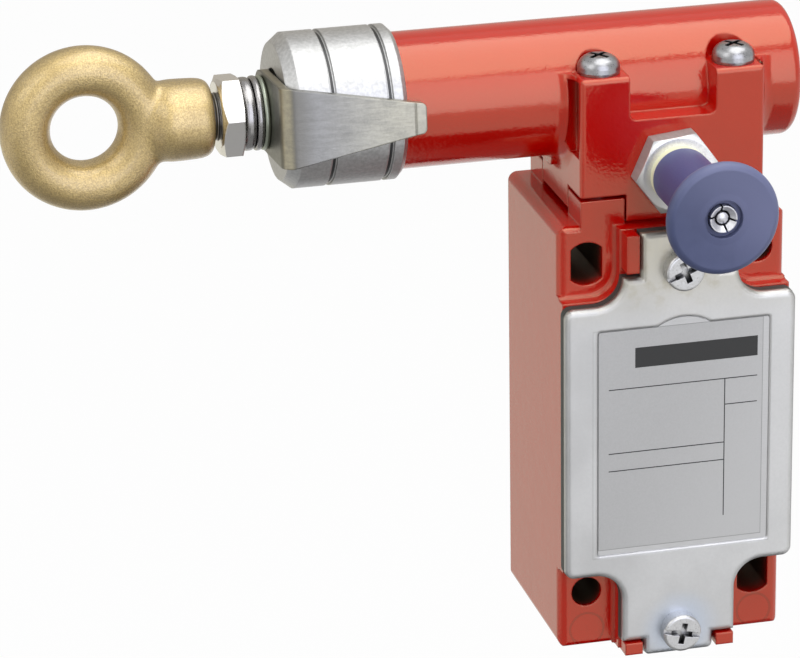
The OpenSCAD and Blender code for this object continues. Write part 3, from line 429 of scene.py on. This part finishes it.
def blasted_gold():
    """Forged eye, bead blasted and passivated to a pale olive gold."""
    paint = Paint("blasted_gold", (0.60, 0.46, 0.22), 0.42, 1.0,
                  Coat_Weight=0.9, Coat_Roughness=0.27, Coat_IOR=1.65)
    grit = paint.noise(0.27, 3.0, rough=0.7)
    cloud = paint.noise(6.0, 3.0)
    base = paint.mix(cloud.smooth(0.3, 0.7), (0.50, 0.367, 0.145), (0.60, 0.447, 0.186))
    paint.put("Base Color", paint.mix(grit.smooth(0.40, 0.60) * 0.6, base, (0.29, 0.20, 0.075)))
    paint.put("Roughness", 0.32 + grit * 0.18)
    paint.bump(grit, 0.11)
    return paint


def polished_chrome():
    """Polished nut with a faint smear, with painted shade in its narrow gaps."""
    paint = Paint("polished_chrome", (0.72, 0.71, 0.69), 0.08, 1.0)
    smear = paint.noise(1.5, 2.0)
    # painted shade: narrow gaps, found by occlusion, are painted near black
    recess = paint.hollow(0.6, 0.3, 0.8)
    paint.put("Base Color", paint.mix(recess, (0.73, 0.715, 0.69), (0.04, 0.04, 0.04)))
    paint.put("Roughness", 0.06 + smear * 0.12)
    paint.bump(smear, 0.03, edge=0.35)
    return paint


def bush_alloy():
    """Drawn alloy of the reset bush: dull on its flats, turned bright on its face, with painted
    light on the face, dark at the lower left and bright at the upper right.
    """
    paint = Paint("bush_alloy", (0.9, 0.89, 0.87), 0.34, 0.7)
    x, y, z = paint.axes()
    grain = paint.noise(0.3, 3.0, rough=0.65)
    drawn = paint.noise(0.5, 2.0, (1, 0.15, 1))
    # painted light: the face runs from dark at the lower left to bright at the upper right
    face = paint.mix((x * 0.6 + z - KNOB_Z).smooth(-8, 5), (0.52, 0.51, 0.49), (0.95, 0.945, 0.94))
    face = paint.mix(grain.smooth(0.35, 0.7) * 0.4, face, (0.55, 0.54, 0.53))
    flats = paint.mix(drawn, (0.30, 0.30, 0.29), (0.46, 0.46, 0.45))
    on_flats = y.smooth(BUSH_FRONT + 0.15, BUSH_FRONT + 0.6)
    paint.put("Base Color", paint.mix(on_flats, face, flats))
    paint.put("Metallic", 0.7 - on_flats * 0.45)
    paint.put("Roughness", 0.28 + grain * 0.18 + on_flats * 0.12)
    paint.bump(grain, 0.012, edge=0.25)
    return paint


def split_steel():
    """Rolled steel of the split bush, with painted shade in its slots."""
    paint = Paint("split_steel", (0.52, 0.52, 0.53), 0.24, 1.0)
    grain = paint.noise(0.3, 3.0)
    base = paint.mix(grain, (0.44, 0.44, 0.46), (0.72, 0.72, 0.74))
    # painted shade: the slots, found by occlusion, are painted dark
    paint.put("Base Color", paint.mix(paint.hollow(0.5, 0.4, 0.9), base, (0.09, 0.09, 0.10)))
    paint.put("Roughness", 0.30 + grain * 0.18)
    paint.bump(grain, 0.02, edge=0.15)
    return paint


def black_rubber():
    """Black rubber of the gaskets and the rod wiper."""
    paint = Paint("black_rubber", (0.045, 0.05, 0.045), 0.62)
    paint.bump(paint.noise(0.5, 2.0), 0.02)
    return paint


def violet_plastic():
    """Matt violet moulding with a faint mottle, and painted light on its face: lighter towards the
    top right.
    """
    paint = Paint("violet_plastic", (0.12, 0.13, 0.26), 0.42, IOR=1.5)
    x, y, z = paint.axes()
    grain = paint.noise(0.35, 3.0)
    cloud = paint.noise(5.0, 3.0)
    base = paint.mix(cloud.smooth(0.3, 0.7), (0.052, 0.066, 0.158), (0.066, 0.083, 0.188))
    # painted light: the face is lighter towards the top right
    base = paint.mix((x + z - KNOB_Z).smooth(-10, 10), base, (0.158, 0.175, 0.325))
    base = paint.mix(y.smooth(NECK_Y, NECK_Y + NECK_FADE), base, (0.068, 0.090, 0.240))
    paint.put("Base Color", base)
    paint.put("Roughness", 0.38 + grain * 0.12)
    paint.bump(grain, 0.010, edge=0.3)
    return paint


def rating_film():
    """Silver film with a dark title band and thin rules inside a plain rim, and no words."""
    paint = Paint("rating_film", (0.58, 0.58, 0.58), 0.4, 0.5)
    x, _, z = paint.axes()
    left, right, bottom, top = FILM_LEFT + 0.1, FILM_RIGHT - 1.1, FILM_BOTTOM + 1.0, FILM_TOP
    width = right - left

    def bar(start, end, upper, lower):
        """Ink between two shares of the width and two depths below the top edge."""
        return panel(x, z, left + start * width, left + end * width, top - lower, top - upper)

    ink = bar(*BAND)
    for start, end, depth in RULES:
        ink = ink + bar(start, end, depth - HALF_RULE, depth + HALF_RULE)
    upright = z.between(top - COLUMN_END, top - COLUMN_TOP)
    ink = (ink + x.near(left + COLUMN * width, HALF_RULE) * upright).clamp()
    printed = panel(x, z, left, right, bottom, top)
    outline = panel(x, z, left, right, bottom, top, grow=0.12) - printed
    grain = paint.noise(0.3, 2.0)
    brushed = paint.noise(0.25, 2.0, (0.1, 1, 1))
    rim = paint.mix(brushed, (0.52, 0.52, 0.52), (0.60, 0.60, 0.60))
    plain = paint.mix(grain, (0.43, 0.43, 0.43), (0.50, 0.50, 0.50))
    plain = paint.mix((x - z * 0.5).smooth(-8, 24) * 0.5, plain, (0.60, 0.60, 0.60))
    base = paint.mix(outline, rim, (0.34, 0.34, 0.34))
    base = paint.mix(printed, base, plain)
    paint.put("Base Color", paint.mix(ink, base, (0.016, 0.016, 0.016)))
    paint.put("Metallic", 0.5 - ink * 0.5)
    paint.put("Roughness", 0.34 + grain * 0.10)
    paint.bump(printed - ink * 0.3, 0.04)
    return paint


def plain_finish(name, color, metal, size, smooth, rough):
    """One colour whose gloss wanders between two roughnesses, in patches of the given size."""
    paint = Paint(name, color, smooth, metal)
    paint.put("Roughness", smooth + paint.noise(size, 2.0) * (rough - smooth))
    return paint


# ---------- dressing the pieces ----------

FINISHES = (
    (red_enamel(), ["body_casting", "head_casting"]),
    (satin_zinc(), ["cover_plate"]),
    (bright_plate(), ["spring_seat", "plunger", "reset_stem",
                      "terminal_clamps", "terminal_screws", "block_screws"]),
    (screw_steel("head_steel", (0.22, 0.22, 0.23), (0.44, 0.44, 0.445)), ["head_screws"]),
    (screw_steel("cover_steel", (0.42, 0.42, 0.42), (0.66, 0.66, 0.66)), ["cover_screws"]),
    (washer_steel(), ["flat_washer", "spring_washer"]),
    (threaded_steel(), ["pull_rod"]),
    (cast_grey(), ["end_cap"]),
    (pointer_sheet(), ["tension_pointer"]),
    (tinted_plate(), ["tinted_washer"]),
    (blasted_gold(), ["eye_nut"]),
    (polished_chrome(), ["lock_nut"]),
    (bush_alloy(), ["reset_bush"]),
    (split_steel(), ["knob_split_bush", "knob_pin"]),
    (plain_finish("spring_wire", (0.42, 0.42, 0.44), 1.0, 0.5, 0.24, 0.38),
     ["main_spring", "plunger_spring", "reset_spring", "bridge_springs"]),
    (plain_finish("contact_brass", (0.75, 0.55, 0.25), 1.0, 0.5, 0.24, 0.38),
     ["cam_sleeve", "moving_bridges", "nc_contacts", "no_contacts", "earth_clamp"]),
    (black_rubber(), ["cover_gasket", "head_gasket", "rod_wiper"]),
    (plain_finish("cream_seal", (0.92, 0.90, 0.62), 0.0, 0.5, 0.40, 0.50), ["reset_wiper"]),
    (violet_plastic(), ["reset_knob"]),
    (rating_film(), ["rating_plate"]),
    (plain_finish("black_moulding", (0.03, 0.035, 0.04), 0.0, 0.5, 0.36, 0.48), ["contact_block"]),
    (plain_finish("smoked_lid", (0.5, 0.5, 0.46), 0.0, 2.0, 0.2, 0.3), ["block_lid"]),
    (plain_finish("ivory_moulding", (0.74, 0.70, 0.58), 0.0, 0.5, 0.40, 0.52), ["contact_carrier"]),
    (plain_finish("green_lacquer", (0.04, 0.26, 0.08), 0.0, 0.8, 0.3, 0.42), ["earth_screw"]),
)


def dress(node, paint):
    """Gives a piece one material all over."""
    slots = NODES[node].data.materials
    slots.clear()
    slots.append(paint.material)


for paint, pieces in FINISHES:
    for node in pieces:
        dress(node, paint)


# ---------- forged eye ----------

def melt(node, grain, rounds, swell):
    """Blends the joins of a solid into soft forged fillets; grain and swell are in millimetres."""
    piece = NODES[node]
    skin = piece.modifiers.new("skin", "REMESH")
    skin.mode = "VOXEL"
    skin.voxel_size = grain * MM
    skin.use_smooth_shade = True
    soft = piece.modifiers.new("soft", "SMOOTH")
    soft.factor = 0.5
    soft.iterations = rounds
    full = piece.modifiers.new("full", "DISPLACE")
    full.strength = swell * MM
    full.mid_level = 0


melt("eye_nut", grain=0.35, rounds=80, swell=0.1)


# ---------- springs ----------

WELD = 0.01             # millimetres, within which the corners of a coil are one
CREASE = 50             # degrees, above which an edge stays sharp


def live_spring(joint):
    """A welded, smooth-shaded copy of a coil, hung on the housing in place of its piece; its axis
    and its fixed end are worked out, but nothing shortens it as its joint travels.
    """
    spring = joint["deforming_nodes"][0]
    node, way = spring["node"], spring["mode"][-1]
    along = "xyz".index(way)
    low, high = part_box(node)
    bpy.ops.object.select_all(action="DESELECT")
    piece = NODES[node].copy()
    piece.data = NODES[node].data.copy()
    piece.name = node + "_coil"
    bpy.context.scene.collection.objects.link(piece)
    bpy.context.view_layer.objects.active = piece
    piece.select_set(True)
    bpy.ops.object.mode_set(mode="EDIT")
    bpy.ops.mesh.select_all(action="SELECT")
    bpy.ops.mesh.remove_doubles(threshold=WELD * MM)
    bpy.ops.object.mode_set(mode="OBJECT")
    bpy.ops.object.shade_smooth_by_angle(angle=math.radians(CREASE))
    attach(piece, "housing")
    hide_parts(node)
    axis = Vector((0, 0, 0))
    axis[along] = 1
    anchor = (low + high) / 2
    anchor[along] = spring["fixed_end_" + way + "_m"]
    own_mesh(piece)


for joint in frame["record"]["behaviour"]["joints"]:
    live_spring(joint)


# ---------- studio ----------

WHITE = (1, 1, 1)
SKY_LIGHT = 0.33        # what the world sheds on the object
SKY_SEEN = 0.8          # how it looks, and how it mirrors
FLOOR_Z, FLOOR_SIZE = -0.32, 6
FLOOR_GREY = 0.86
FLOOR_FADE = 0.97       # share of plain white in the floor, where it is looked at
LAMP_TARGET = (0, 0, 0.02)


def seen_plain(tree, lit, plain, share=1.0):
    """Mixes a plain shader into a lit one, by a share, for camera, mirror and glass rays."""
    path = tree.node("ShaderNodeLightPath", {}, {}).socket.node
    camera, glossy, glass = (Link(tree, path.outputs[f"Is {ray} Ray"])
                             for ray in ("Camera", "Glossy", "Transmission"))
    factor = camera.larger(glossy).larger(glass) * share
    return tree.node("ShaderNodeMixShader", {}, {0: factor, 1: lit, 2: plain})


def studio_world():
    """Pale to the eye and in reflections, and a dimmer soft light on the object."""
    world = bpy.data.worlds.new("studio")
    bpy.context.scene.world = world
    tree = Tree(world)
    light = tree.nodes["Background"]
    tree.feed(light.inputs["Color"], WHITE)
    tree.feed(light.inputs["Strength"], SKY_LIGHT)
    plain = tree.node("ShaderNodeBackground", {}, {"Color": WHITE, "Strength": SKY_SEEN})
    mixed = seen_plain(tree, Link(tree, light.outputs[0]), plain)
    tree.feed(tree.nodes["World Output"].inputs[0], mixed)


def stage_sheet(name, place, size, turn, material):
    """A flat sheet of the studio, which isn't part of the object; it is turned in degrees."""
    bpy.ops.object.select_all(action="DESELECT")
    angles = tuple(math.radians(angle) for angle in turn)
    bpy.ops.mesh.primitive_plane_add(size=1, location=place, rotation=angles)
    sheet = bpy.context.object
    sheet.name = name
    sheet.scale = (size[0], size[1], 1)
    sheet.data.materials.append(material)
    return sheet


def studio_floor():
    """A pale floor that keeps a soft shadow and fades into the white of the studio."""
    paint = Paint("studio_floor", (FLOOR_GREY, FLOOR_GREY, FLOOR_GREY), 0.9)
    lit = Link(paint, paint.shader.outputs[0])
    plain = paint.node("ShaderNodeEmission", {}, {"Color": WHITE, "Strength": 1.0})
    paint.feed(paint.nodes["Material Output"].inputs[0], seen_plain(paint, lit, plain, FLOOR_FADE))
    size = (FLOOR_SIZE, FLOOR_SIZE)
    floor = stage_sheet("floor", (0, 0, FLOOR_Z), size, (0, 0, 0), paint.material)
    floor.visible_diffuse = False


def reflector(name, place, size, turn, level, color=WHITE):
    """A card that only shows in reflections."""
    material = bpy.data.materials.new(name)
    tree = Tree(material)
    glow = tree.node("ShaderNodeEmission", {}, {"Color": color, "Strength": level})
    tree.feed(tree.nodes["Material Output"].inputs[0], glow)
    card = stage_sheet(name, place, size, turn, material)
    card.visible_camera = False
    card.visible_diffuse = False
    card.visible_shadow = False
    card.visible_transmission = False


def soft_lamp(name, place, size, level, mirrored=True):
    """A soft box of the given brightness, aimed at the object."""
    data = bpy.data.lights.new(name, "AREA")
    data.shape = "RECTANGLE"
    data.size, data.size_y = size
    data.energy = level * math.pi * size[0] * size[1]
    lamp = bpy.data.objects.new(name, data)
    bpy.context.scene.collection.objects.link(lamp)
    lamp.location = place
    lamp.rotation_euler = (Vector(LAMP_TARGET) - Vector(place)).to_track_quat("-Z", "Y").to_euler()
    lamp.visible_glossy = mirrored


studio_world()
studio_floor()
soft_lamp("soft_box_top", (0.15, -0.12, 0.8), (0.9, 0.7), 2.5)
soft_lamp("soft_box_front", (0.3, -1.3, 0.4), (1.2, 0.7), 2.2, mirrored=False)
soft_lamp("soft_box_left", (-1.2, -0.25, 0.25), (0.8, 0.8), 1.5, mirrored=False)
reflector("dark_below", (0.0515, -0.06, -0.24), (0.053, 0.42), (0, 0, 0), 0.01)
reflector("grey_right", (0.119, -0.06, -0.24), (0.082, 0.42), (0, 0, 0), 0.3)
reflector("grey_below", (-0.215, -0.05, -0.24), (0.48, 0.44), (0, 0, 0), 0.42)
reflector("grey_front", (-0.38, -0.52, -0.24), (0.68, 0.5), (0, 0, 0), 0.4)
reflector("white_corner", (-1.0, -0.5, 0.8), (0.8, 0.8), (21, -49, 0), 2.4)
reflector("white_front", (0.3, -1.3, 0.575), (1.3, 1.5), (90, 0, 0), 2.4, (1, 1.02, 1.14))
reflector("grey_low", (-0.56, 0.75, -0.31), (1.12, 0.9), (0, 0, 0), 0.86, (1, 0.97, 0.85))
reflector("white_left", (-0.85, 0.25, 0.72), (0.9, 0.9), (0, 50, 0), 1.5)
reflector("grey_behind", (0, 1.3, 0.1), (4, 2.2), (90, 0, 0), 0.55, (1, 0.93, 0.82))

bpy.context.scene.view_settings.view_transform = "Standard"
